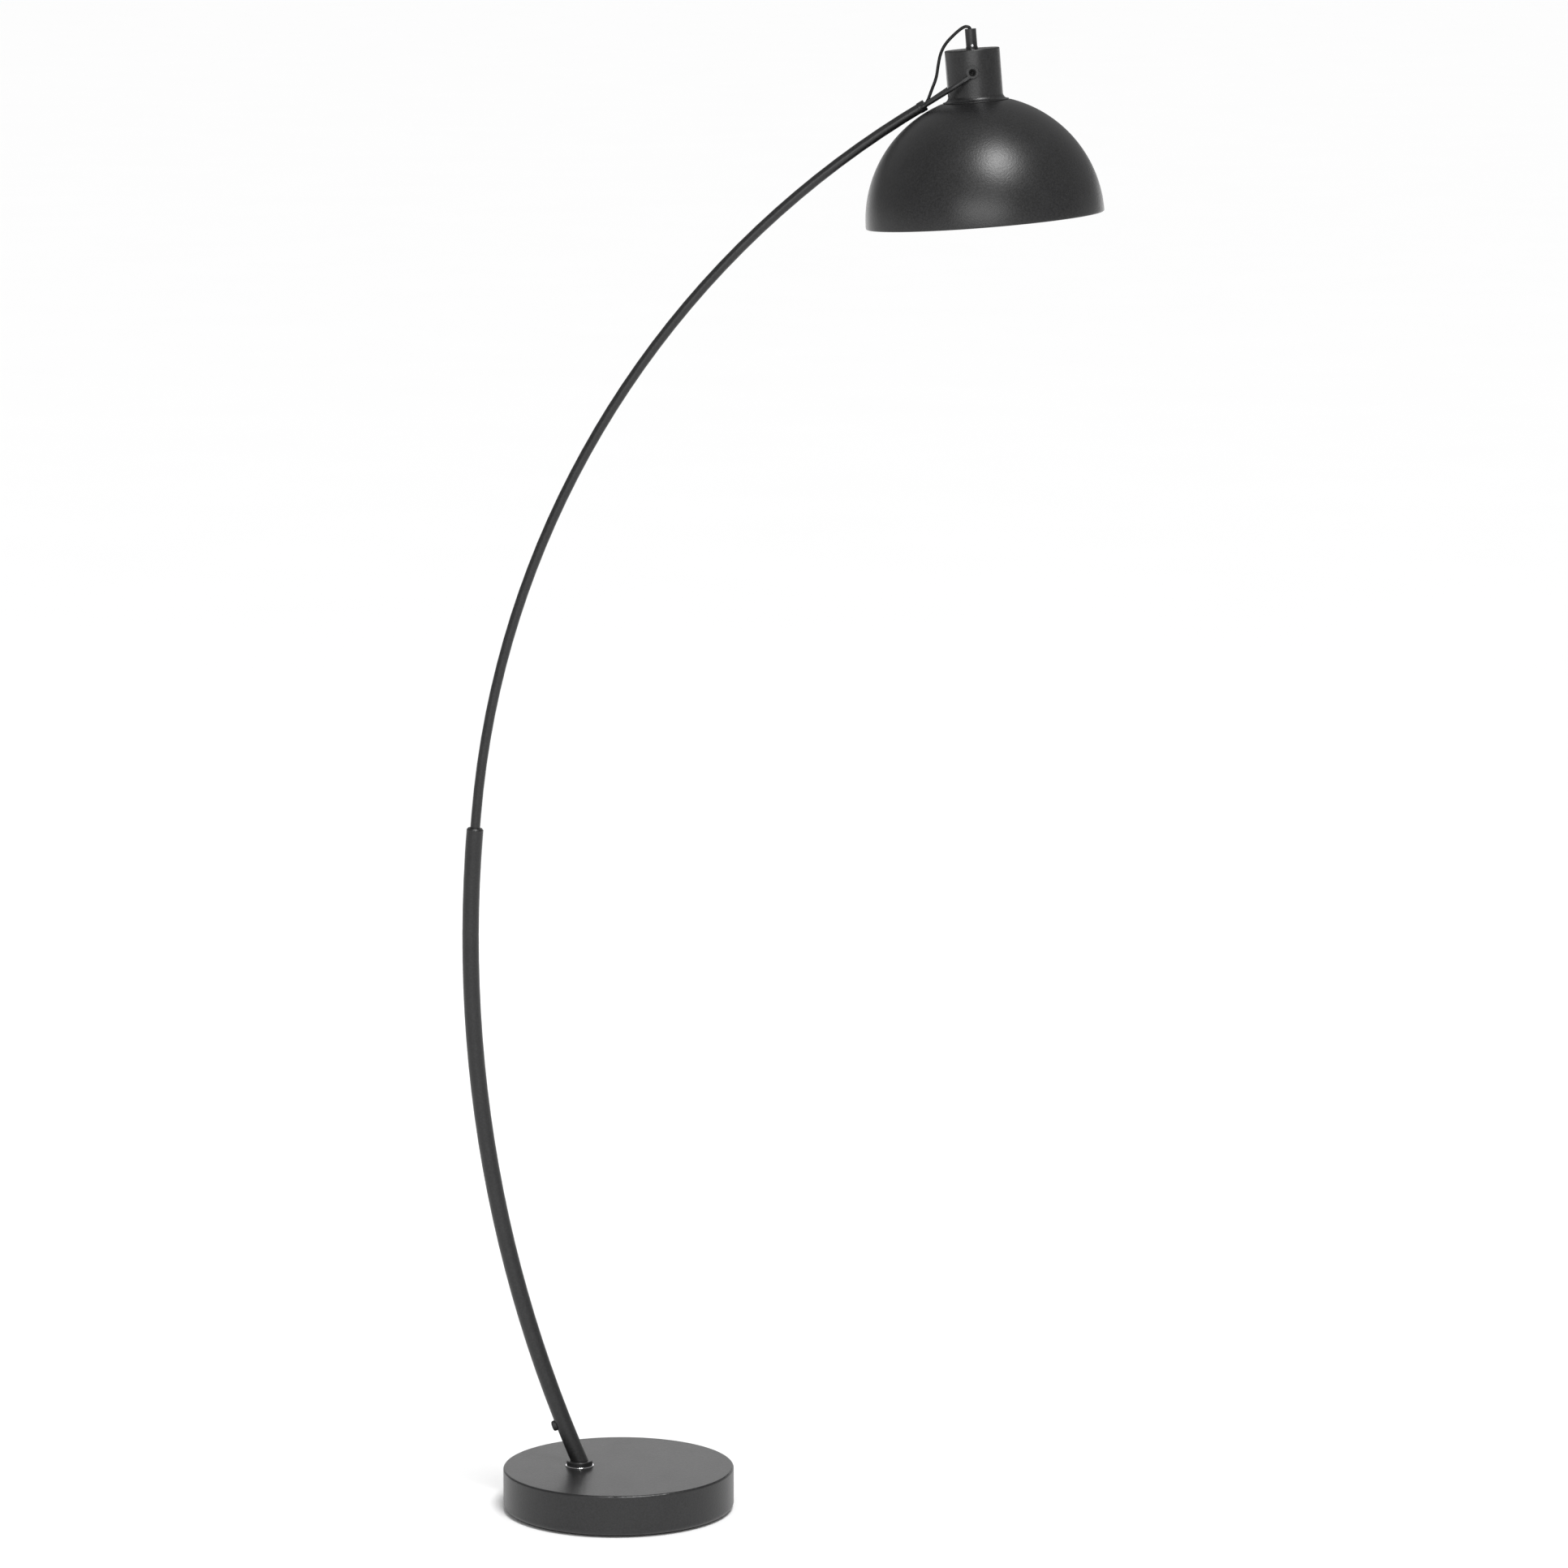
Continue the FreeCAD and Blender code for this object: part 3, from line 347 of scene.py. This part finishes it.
def black_oxide(name):
    """Blackened steel. On the screws of the tilt axis, within about 4 mm of it, the colour is painted
    near black as shade, and the surface is duller.
    """
    finish = Finish(name, metallic=1.0)
    cloud = finish.noise(0.0018, detail=3.0)
    worn = finish.mix(cloud, (0.09, 0.09, 0.095), (0.18, 0.18, 0.19))
    # Painted shade: a near-black colour for the screw heads on the tilt axis, where the head sits in
    # shade.
    painted_shade = finish.mix(cloud, (0.006, 0.006, 0.006), (0.016, 0.016, 0.016))
    axis = (TILT_AXIS.x, TILT_AXIS.z)
    # 0 within about 3.4 mm of the tilt axis, where the painted shade goes, and 1 beyond about 4.2 mm.
    outside_screw_shade = finish.ramp(
        finish.from_axis("X", "Z", axis) * 100.0, (0.34, 0.0), (0.42, 1.0)
    )
    finish.set("Base Color", finish.mix(outside_screw_shade, painted_shade, worn))
    finish.set("Roughness", cloud * 0.2 + outside_screw_shade * -0.14 + 0.32)
    finish.bump(finish.noise(0.0003), 0.00001, 0.4, edge=0.0003)
    return finish.material


def moulded(name, base, rough, grain=0.0005, depth=0.00003):
    """Moulded plastic or rubber with a fine skin."""
    finish = Finish(name)
    skin = finish.noise(grain, detail=2.0)
    cloud = finish.noise(0.008, detail=2.0)
    finish.set("Base Color", finish.mix(cloud, shade_of(base, 0.8), shade_of(base, 1.25)))
    finish.set("Roughness", skin * 0.12 + cloud * 0.06 + (rough - 0.09))
    finish.bump(skin, depth, 0.5, edge=0.0004)
    return finish.material


def cord_sheath(name, base):
    """Extruded sheath: smooth, with faint long draw lines and a few dull patches."""
    finish = Finish(name, specular_ior_level=0.28)
    drawn = finish.noise(0.0006, detail=1.0, place=finish.stretched(1.0, 1.0, 0.08))
    patch = finish.noise(0.007, detail=2.0)
    finish.set("Base Color", finish.mix(patch, shade_of(base, 0.8), shade_of(base, 1.3)))
    finish.set("Roughness", drawn * 0.10 + patch * 0.12 + 0.30)
    finish.bump(drawn, 0.00002, 0.4)
    return finish.material


def cast_iron(name):
    finish = Finish(name, metallic=0.6)
    sand = finish.noise(0.0015, detail=6.0, roughness=0.65)
    finish.set("Base Color", finish.mix(sand, (0.05, 0.05, 0.052), (0.14, 0.135, 0.13)))
    finish.set("Roughness", sand * 0.2 + 0.6)
    finish.bump(sand, 0.0003, 0.8)
    return finish.material


def closed_foam(name):
    finish = Finish(name)
    cell = finish.cells(0.0012)
    finish.set("Base Color", finish.mix(cell, (0.03, 0.03, 0.03), (0.012, 0.012, 0.012)))
    finish.set("Roughness", cell * 0.1 + 0.82)
    finish.bump(1.0 - cell, 0.0002, 0.8)
    return finish.material


def glazed_ceramic(name):
    finish = Finish(name, coat_weight=0.3)
    speck = finish.noise(0.0008, detail=2.0)
    finish.set("Base Color", finish.mix(speck, (0.70, 0.685, 0.64), (0.84, 0.83, 0.79)))
    finish.set("Roughness", speck * 0.15 + 0.25)
    finish.bump(speck, 0.00003, 0.3)
    return finish.material


def opal_glass(name, base):
    """White opal glass, glossy outside, with a faintly warmer, denser middle."""
    finish = Finish(name, coat_weight=1.0, coat_roughness=0.03, subsurface_weight=0.25)
    cloud = finish.noise(0.02, detail=2.0)
    finish.set("Base Color", finish.mix(cloud, shade_of(base, 0.97), shade_of(base, 1.03)))
    finish.set("Roughness", cloud * 0.08 + 0.18)
    return finish.material


FINISHES = {}


def finish_for(slot):
    """The material for one of the record's slots, made on first use."""
    if slot not in FINISHES:
        colours = bpy.context.scene.lamp_colours
        grain = bpy.context.scene.lamp_sizes.grain
        makers = {
            "black_powder_coat": lambda: powder_coat(slot, colours.paint, grain),
            "pale_lining": lambda: pale_lining(slot, colours.lining, grain),
            "cast_iron": lambda: cast_iron(slot),
            "zinc_steel": lambda: plated_steel(slot, (0.60, 0.61, 0.63), 0.34),
            "black_steel": lambda: black_oxide(slot),
            "chrome": lambda: turned_metal(slot, (0.80, 0.80, 0.81), 0.10, (FOOT.x, FOOT.y)),
            "black_rubber": lambda: moulded(slot, colours.rubber, 0.62),
            "foam_pad": lambda: closed_foam(slot),
            "cord_sheath": lambda: cord_sheath(slot, colours.cord),
            "black_plastic": lambda: moulded(slot, colours.plastic, 0.42),
            "white_ceramic": lambda: glazed_ceramic(slot),
            "brass": lambda: plated_steel(slot, (0.80, 0.58, 0.27), 0.26),
            "nickel_cap": lambda: plated_steel(slot, (0.66, 0.65, 0.62), 0.26),
            "opal_glass": lambda: opal_glass(slot, colours.glass),
        }
        FINISHES[slot] = makers[slot]()
    return FINISHES[slot]


NODE_SLOTS = {part["node"]: part["material_slot"] for part in frame["record"]["subparts"]}


def dress(*nodes):
    """Gives CAD nodes the finish of their slot in the record."""
    for node in nodes:
        mesh = frame["nodes"][node].data
        mesh.materials.clear()
        mesh.materials.append(finish_for(NODE_SLOTS[node]))


# ---- Shapes --------------------------------------------------------------------------------------
def piece_from(name, bm, slots, body, place=None):
    """Turns a bmesh into a piece that rides on a body."""
    mesh = bpy.data.meshes.new(name)
    bm.to_mesh(mesh)
    bm.free()
    if place is not None:
        mesh.transform(place)
    for slot in slots:
        mesh.materials.append(finish_for(slot))
    piece = bpy.data.objects.new(name, mesh)
    bpy.context.scene.collection.objects.link(piece)
    if body:
        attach(piece, body)
    return piece


def arc(centre, radius, start, end, steps, slot=0):
    """Points (radius, height, slot) along an arc of a turned outline. Angles in degrees."""
    points = []
    for step in range(steps + 1):
        turn = math.radians(start + (end - start) * step / steps)
        points.append(
            (centre[0] + radius * math.cos(turn), centre[1] + radius * math.sin(turn), slot)
        )
    return points


def turned(outline, segments, closed=True, six_sided=()):
    """Turns an outline of (radius, height, slot) about the Z axis. A point on the axis
    is one vertex. Each run takes the slot of the point it starts from. The points
    numbered in six_sided make hexagons, and their radius is half the flats."""
    bm = bmesh.new()
    rings = []
    for number, (radius, height, _) in enumerate(outline):
        if radius < 1e-7:
            rings.append([bm.verts.new((0.0, 0.0, height))])
            continue
        ring = []
        for step in range(segments):
            turn = 2 * math.pi * step / segments
            reach = radius
            if number in six_sided:
                reach /= math.cos((turn + math.pi / 6) % (math.pi / 3) - math.pi / 6)
            ring.append(bm.verts.new((reach * math.cos(turn), reach * math.sin(turn), height)))
        rings.append(ring)
    runs = list(zip(rings, rings[1:], outline))
    if closed:
        runs.append((rings[-1], rings[0], outline[-1]))
    for low, high, (_, _, slot) in runs:
        for step in range(segments):
            after = (step + 1) % segments
            corners = [low[step % len(low)], low[after % len(low)]]
            corners += [high[after % len(high)], high[step % len(high)]]
            unique = list(dict.fromkeys(corners))
            if len(unique) > 2:
                face = bm.faces.new(unique)
                face.material_index = slot
                face.smooth = True
    bmesh.ops.recalc_face_normals(bm, faces=bm.faces)
    sharpen(bm)
    return bm


def sharpen(bm):
    """Shades the surface as broken where it turns sharply."""
    limit = math.radians(28.0)
    for edge in bm.edges:
        if len(edge.link_faces) == 2 and edge.calc_face_angle(0.0) > limit:
            edge.smooth = False


def tube_along(points, radius, sides=24):
    """A capped tube that follows points, turning no more than the line does."""
    bm = bmesh.new()
    rings = []
    across = Vector((0.0, 1.0, 0.0))
    for index, point in enumerate(points):
        before = points[max(index - 1, 0)]
        after = points[min(index + 1, len(points) - 1)]
        along = (after - before).normalized()
        across = (across - along * across.dot(along)).normalized()
        other = along.cross(across)
        ring = []
        for side in range(sides):
            turn = 2 * math.pi * side / sides
            ring.append(
                bm.verts.new(point + (across * math.cos(turn) + other * math.sin(turn)) * radius)
            )
        rings.append(ring)
    for low, high in zip(rings, rings[1:]):
        for side in range(sides):
            after = (side + 1) % sides
            face = bm.faces.new((low[side], low[after], high[after], high[side]))
            face.smooth = True
    bm.faces.new(rings[0])
    bm.faces.new(rings[-1])
    bmesh.ops.recalc_face_normals(bm, faces=bm.faces)
    sharpen(bm)
    return bm


def spline_points(route, resolution=16):
    """Points along the NURBS spline that has the route's points as its control points."""
    curve = bpy.data.curves.new("route", "CURVE")
    curve.dimensions = "3D"
    spline = curve.splines.new("NURBS")
    spline.points.add(len(route) - 1)
    for point, place in zip(spline.points, route):
        point.co = (*place, 1.0)
    spline.order_u = 3
    spline.use_endpoint_u = True
    spline.resolution_u = resolution
    holder = bpy.data.objects.new("route", curve)
    mesh = bpy.data.meshes.new_from_object(holder)
    points = [vertex.co.copy() for vertex in mesh.vertices]
    bpy.data.meshes.remove(mesh)
    bpy.data.objects.remove(holder)
    bpy.data.curves.remove(curve)
    return points


# ---- The stage -------------------------------------------------------------------------------------
def soft_box(name, place, target, width, height, power):
    """An even rectangle of light that points at its target and isn't seen itself."""
    light = bpy.data.lights.new(name, "AREA")
    light.shape = "RECTANGLE"
    light.size = width
    light.size_y = height
    light.energy = power
    box = bpy.data.objects.new(name, light)
    box.location = place
    box.rotation_mode = "QUATERNION"
    aim = Vector(target) - Vector(place)
    box.rotation_quaternion = aim.to_track_quat("-Z", "Y")
    box.visible_camera = False
    bpy.context.scene.collection.objects.link(box)


def add_floor(pale):
    bm = bmesh.new()
    bmesh.ops.create_grid(bm, x_segments=4, y_segments=4, size=FLOOR_HALF_SIDE)
    floor_mesh = bpy.data.meshes.new("floor")
    bm.to_mesh(floor_mesh)
    bm.free()
    finish = Finish("floor_paint")
    cloud = finish.noise(0.5, detail=2.0)
    finish.set("Base Color", finish.mix(cloud, shade_of(pale, 0.995), shade_of(pale, 1.005)))
    finish.set("Roughness", cloud * 0.05 + 0.75)
    finish.set("Specular IOR Level", 0.2)
    floor_mesh.materials.append(finish.material)
    floor = bpy.data.objects.new("floor", floor_mesh)
    bpy.context.scene.collection.objects.link(floor)


def add_lights(studio):
    world = bpy.data.worlds.new("studio")
    world.use_nodes = True
    background = world.node_tree.nodes["Background"]
    background.inputs["Color"].default_value = (1.0, 1.0, 1.0, 1.0)
    background.inputs["Strength"].default_value = studio.surround
    bpy.context.scene.world = world

    sun = bpy.data.lights.new("sky_light", "SUN")
    sun.energy = studio.sky
    sun.angle = SKY_SPREAD
    sky = bpy.data.objects.new("sky_light", sun)
    sky.rotation_mode = "QUATERNION"
    sky.rotation_quaternion = SKY_AIM.to_track_quat("-Z", "Y")
    bpy.context.scene.collection.objects.link(sky)

    soft_box("front_light", (0.3, -5.5, 2.5), (0.38, 0.0, 1.30), 4.2, 0.9, studio.front)
    soft_box("back_light", (0.2, 4.0, 1.0), (0.20, 0.0, 0.50), 5.0, 1.4, studio.back)


def add_camera(lens):
    camera_data = bpy.data.cameras.new("camera")
    camera_data.lens = lens
    camera_data.sensor_width = 36.0
    camera_data.clip_end = CAMERA_REACH
    camera = bpy.data.objects.new("camera", camera_data)
    camera.location = CAMERA_PLACE
    camera.rotation_mode = "QUATERNION"
    camera.rotation_quaternion = CAMERA_AIM.to_track_quat("-Z", "Y")
    bpy.context.scene.collection.objects.link(camera)
    bpy.context.scene.camera = camera


class LAMP_OT_stage(bpy.types.Operator):
    """Adds the floor, the studio light and the camera"""

    bl_idname = "lamp.stage"
    bl_label = "Studio and camera"

    def execute(self, context):
        studio = context.scene.lamp_studio
        add_floor(studio.floor_colour)
        add_lights(studio)
        add_camera(studio.lens)
        context.scene.view_settings.view_transform = "Standard"
        return {"FINISHED"}


# ---- The lamp's pieces ------------------------------------------------------------------------------
class LAMP_OT_head_cord(bpy.types.Operator):
    """Makes the free cord between the pole's end and the grip"""

    bl_idname = "lamp.head_cord"
    bl_label = "Free cord"

    def execute(self, context):
        sizes = context.scene.lamp_sizes
        points = spline_points([(x, 0.0, z) for x, z in HEAD_CORD_ROUTE])
        bm = tube_along(points, sizes.cord_diameter / 2)
        cord = piece_from("free_cord", bm, ["cord_sheath"], None)
        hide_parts("head_cord")
        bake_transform(cord)
        return {"FINISHED"}


class LAMP_OT_base(bpy.types.Operator):
    """Finishes the base and what holds the pole on it"""

    bl_idname = "lamp.base"
    bl_label = "Base"

    def execute(self, context):
        dress("base_shell", "base_pad", "base_plate", "plate_screws", "base_ballast")
        dress("foot_bolt", "foot_bolt_washer", "foot_spacer", "foot_socket")
        bore, bottom, top = 0.0043, 0.0450, 0.0460
        edge = (top - bottom) / 2
        outline = [(bore, bottom, 0), (0.01455, bottom, 0)]
        outline += arc((0.01435, bottom + edge), edge, -60, 90, 10)
        outline += [(bore, top, 0)]
        bm = turned(outline, 128)
        place = Matrix.Translation(FOOT)
        trim = piece_from("foot_trim", bm, ["chrome"], "stand", place)
        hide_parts("foot_trim_washer")
        return {"FINISHED"}


class LAMP_OT_pole(bpy.types.Operator):
    """Finishes the two tubes, their joint and the cord fittings in them"""

    bl_idname = "lamp.pole"
    bl_label = "Pole"

    def execute(self, context):
        dress("lower_tube", "upper_tube", "joint_bush", "joint_screw", "cable_grommet")
        dress("arm_lead", "tube_end_bush")
        return {"FINISHED"}


def socket_screw():
    """A socket-head screw along Z, with heights measured from the lamp's middle."""
    tip, seat, top = 0.0222, 0.0354, 0.0388
    thread, head, socket = 0.0020, 0.0036, 0.0015
    chamfer, bevel, crown = 0.0002, 0.0003, 0.0007
    outline = [(0.0, tip, 0), (thread - chamfer, tip, 0), (thread, tip + chamfer, 0)]
    outline += [(thread, seat, 0), (head - bevel, seat, 0), (head, seat + bevel, 0)]
    outline += arc((head - crown, top - crown), crown, 0, 90, 8)
    outline += [(0.0023, top, 0), (0.0016, 0.0383, 0), (socket, 0.0382, 0)]
    outline += [(socket, 0.0368, 0), (0.0, 0.0366, 0)]
    last = len(outline)
    return turned(outline, 96, closed=False, six_sided=range(last - 3, last - 1))


class LAMP_OT_fork(bpy.types.Operator):
    """Finishes the fork and the screws of the tilt axis"""

    bl_idname = "lamp.fork"
    bl_label = "Fork and tilt axis"

    def execute(self, context):
        dress("head_fork")
        for side, turn in (("front", 90.0), ("rear", -90.0)):
            dress("tilt_spacer_" + side, "tilt_nut_" + side)
            place = HEAD_PLACE @ Matrix.Rotation(math.radians(turn), 4, "X")
            screw = piece_from(
                "tilt_bolt_" + side, socket_screw(), ["black_steel"], "head", place
            )
            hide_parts("tilt_screw_" + side)
        return {"FINISHED"}


class LAMP_OT_shade(bpy.types.Operator):
    """Makes the shade, black outside and pale inside, with its rolled edge"""

    bl_idname = "lamp.shade"
    bl_label = "Shade"

    def execute(self, context):
        sizes = context.scene.lamp_sizes
        outer = sizes.shade_arc
        inner = outer - sizes.shade_wall
        offset = -sizes.shade_offset
        rim = -sizes.shade_drop
        hem = sizes.hem_thickness
        top = NECK_FOOT
        hole = 0.0240
        shoulder = math.degrees(math.asin((top - 0.0005 - rim) / outer))
        outline = [(hole, top, 0), (0.0338, top, 0), (0.0343, top - 0.0002, 0)]
        outline += arc((offset, rim), outer, shoulder, 0.6, 72)
        rim_radius = outline[-1][0]
        outline += arc((rim_radius - hem / 2, rim + hem / 2), hem / 2, -15, -180, 10)
        hem_inside = rim_radius - hem
        inner_start = math.degrees(math.asin(0.0068 / inner))
        inside_radius = offset + inner * math.cos(math.radians(inner_start))
        outline += [
            (hem_inside, rim + 0.0052, 0),
            (hem_inside + 0.0002, rim + 0.0060, 0),
            (inside_radius, rim + 0.0064, 1),
        ]
        inner_end = math.degrees(math.asin((top - sizes.shade_wall - rim) / inner))
        outline += arc((offset, rim), inner, inner_start, inner_end, 64, 1)
        outline += [(hole, top - sizes.shade_wall, 1)]
        bm = turned(outline, sizes.segments)
        shade = piece_from(
            "shade", bm, ["black_powder_coat", "pale_lining"], "head", HEAD_PLACE
        )
        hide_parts("shade_dome")
        return {"FINISHED"}


class LAMP_OT_neck(bpy.types.Operator):
    """Makes the neck above the shade and finishes the cord grip on it"""

    bl_idname = "lamp.neck"
    bl_label = "Neck and grip"

    def execute(self, context):
        dress("cord_grip", "grip_screw", "holder_lead", "nipple", "nipple_nut")
        side, wall, flare, crown, bore = 0.0280, 0.0010, 0.0054, 0.0015, 0.0041
        middle = (side + flare, NECK_FOOT + wall + flare)
        outline = [(bore, NECK_TOP, 0), (0.0262, NECK_TOP, 0)]
        outline += arc((side - crown, NECK_TOP - crown), crown, 90, 0, 10)
        outline += arc(middle, flare, 180, 265, 20)
        outline += arc((0.0332, NECK_FOOT + wall / 2), wall / 2, 80, -80, 8)
        outline += arc(middle, flare + wall, 268, 180, 20)
        outline += [(side - wall, NECK_TOP - wall, 0), (bore, NECK_TOP - wall, 0)]
        bm = turned(outline, context.scene.lamp_sizes.segments)
        neck = piece_from("neck", bm, ["black_powder_coat"], "head", HEAD_PLACE)
        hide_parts("neck_cup")
        return {"FINISHED"}


class LAMP_OT_holder(bpy.types.Operator):
    """Finishes the lamp holder and its contacts"""

    bl_idname = "lamp.holder"
    bl_label = "Lamp holder"

    def execute(self, context):
        dress("holder_cap", "holder_body", "holder_insert", "terminal_block")
        dress("shell_contact", "centre_contact")
        return {"FINISHED"}


class LAMP_OT_bulb(bpy.types.Operator):
    """Makes the bulb's glass and finishes its cap"""

    bl_idname = "lamp.bulb"
    bl_label = "Bulb"

    def execute(self, context):
        dress("bulb_cap", "bulb_tip")
        centre = -0.0848
        globe = 0.030
        outline = [(0.0, centre - globe, 0)]
        outline += arc((0.0, centre), globe, -84, 34, 40)
        neck = [(0.0228, 0.0200), (0.0206, 0.0235), (0.0184, 0.0275), (0.0165, 0.0315)]
        neck += [(0.0149, 0.0355), (0.0136, 0.0395), (0.0128, 0.0435), (0.0125, 0.0475)]
        neck += [(0.0125, 0.0540), (0.0, 0.0540)]
        outline += [(radius, centre + rise, 0) for radius, rise in neck]
        bm = turned(outline, 96, closed=False)
        glass = piece_from("bulb_globe", bm, ["opal_glass"], "head", HEAD_PLACE)
        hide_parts("bulb_glass")
        return {"FINISHED"}


class LAMP_PT_panel(bpy.types.Panel):
    """Sizes, colours and steps of the lamp"""

    bl_idname = "LAMP_PT_panel"
    bl_label = "Arc floor lamp"
    bl_space_type = "VIEW_3D"
    bl_region_type = "UI"
    bl_category = "Floor Lamp"

    def draw(self, context):
        scene = context.scene
        for heading, group in (
            ("Sizes", scene.lamp_sizes),
            ("Colours", scene.lamp_colours),
            ("Studio", scene.lamp_studio),
        ):
            box = self.layout.box()
            box.label(text=heading)
            for name in group.__annotations__:
                box.prop(group, name)
        for operator in OPERATORS:
            self.layout.operator(operator.bl_idname)


OPERATORS = (
    LAMP_OT_stage,
    LAMP_OT_head_cord,
    LAMP_OT_base,
    LAMP_OT_pole,
    LAMP_OT_fork,
    LAMP_OT_shade,
    LAMP_OT_neck,
    LAMP_OT_holder,
    LAMP_OT_bulb,
)
CLASSES = (LampSizes, LampColours, StudioSettings, *OPERATORS, LAMP_PT_panel)


def register():
    for each in CLASSES:
        bpy.utils.register_class(each)
    bpy.types.Scene.lamp_sizes = PointerProperty(type=LampSizes)
    bpy.types.Scene.lamp_colours = PointerProperty(type=LampColours)
    bpy.types.Scene.lamp_studio = PointerProperty(type=StudioSettings)


def unregister():
    del bpy.types.Scene.lamp_studio
    del bpy.types.Scene.lamp_colours
    del bpy.types.Scene.lamp_sizes
    for each in reversed(CLASSES):
        bpy.utils.unregister_class(each)


def main():
    register()
    bpy.ops.lamp.stage()
    bpy.ops.lamp.head_cord()
    bpy.ops.lamp.base()
    bpy.ops.lamp.pole()
    bpy.ops.lamp.fork()
    bpy.ops.lamp.shade()
    bpy.ops.lamp.neck()
    bpy.ops.lamp.holder()
    bpy.ops.lamp.bulb()


if __name__ == "__main__":
    main()
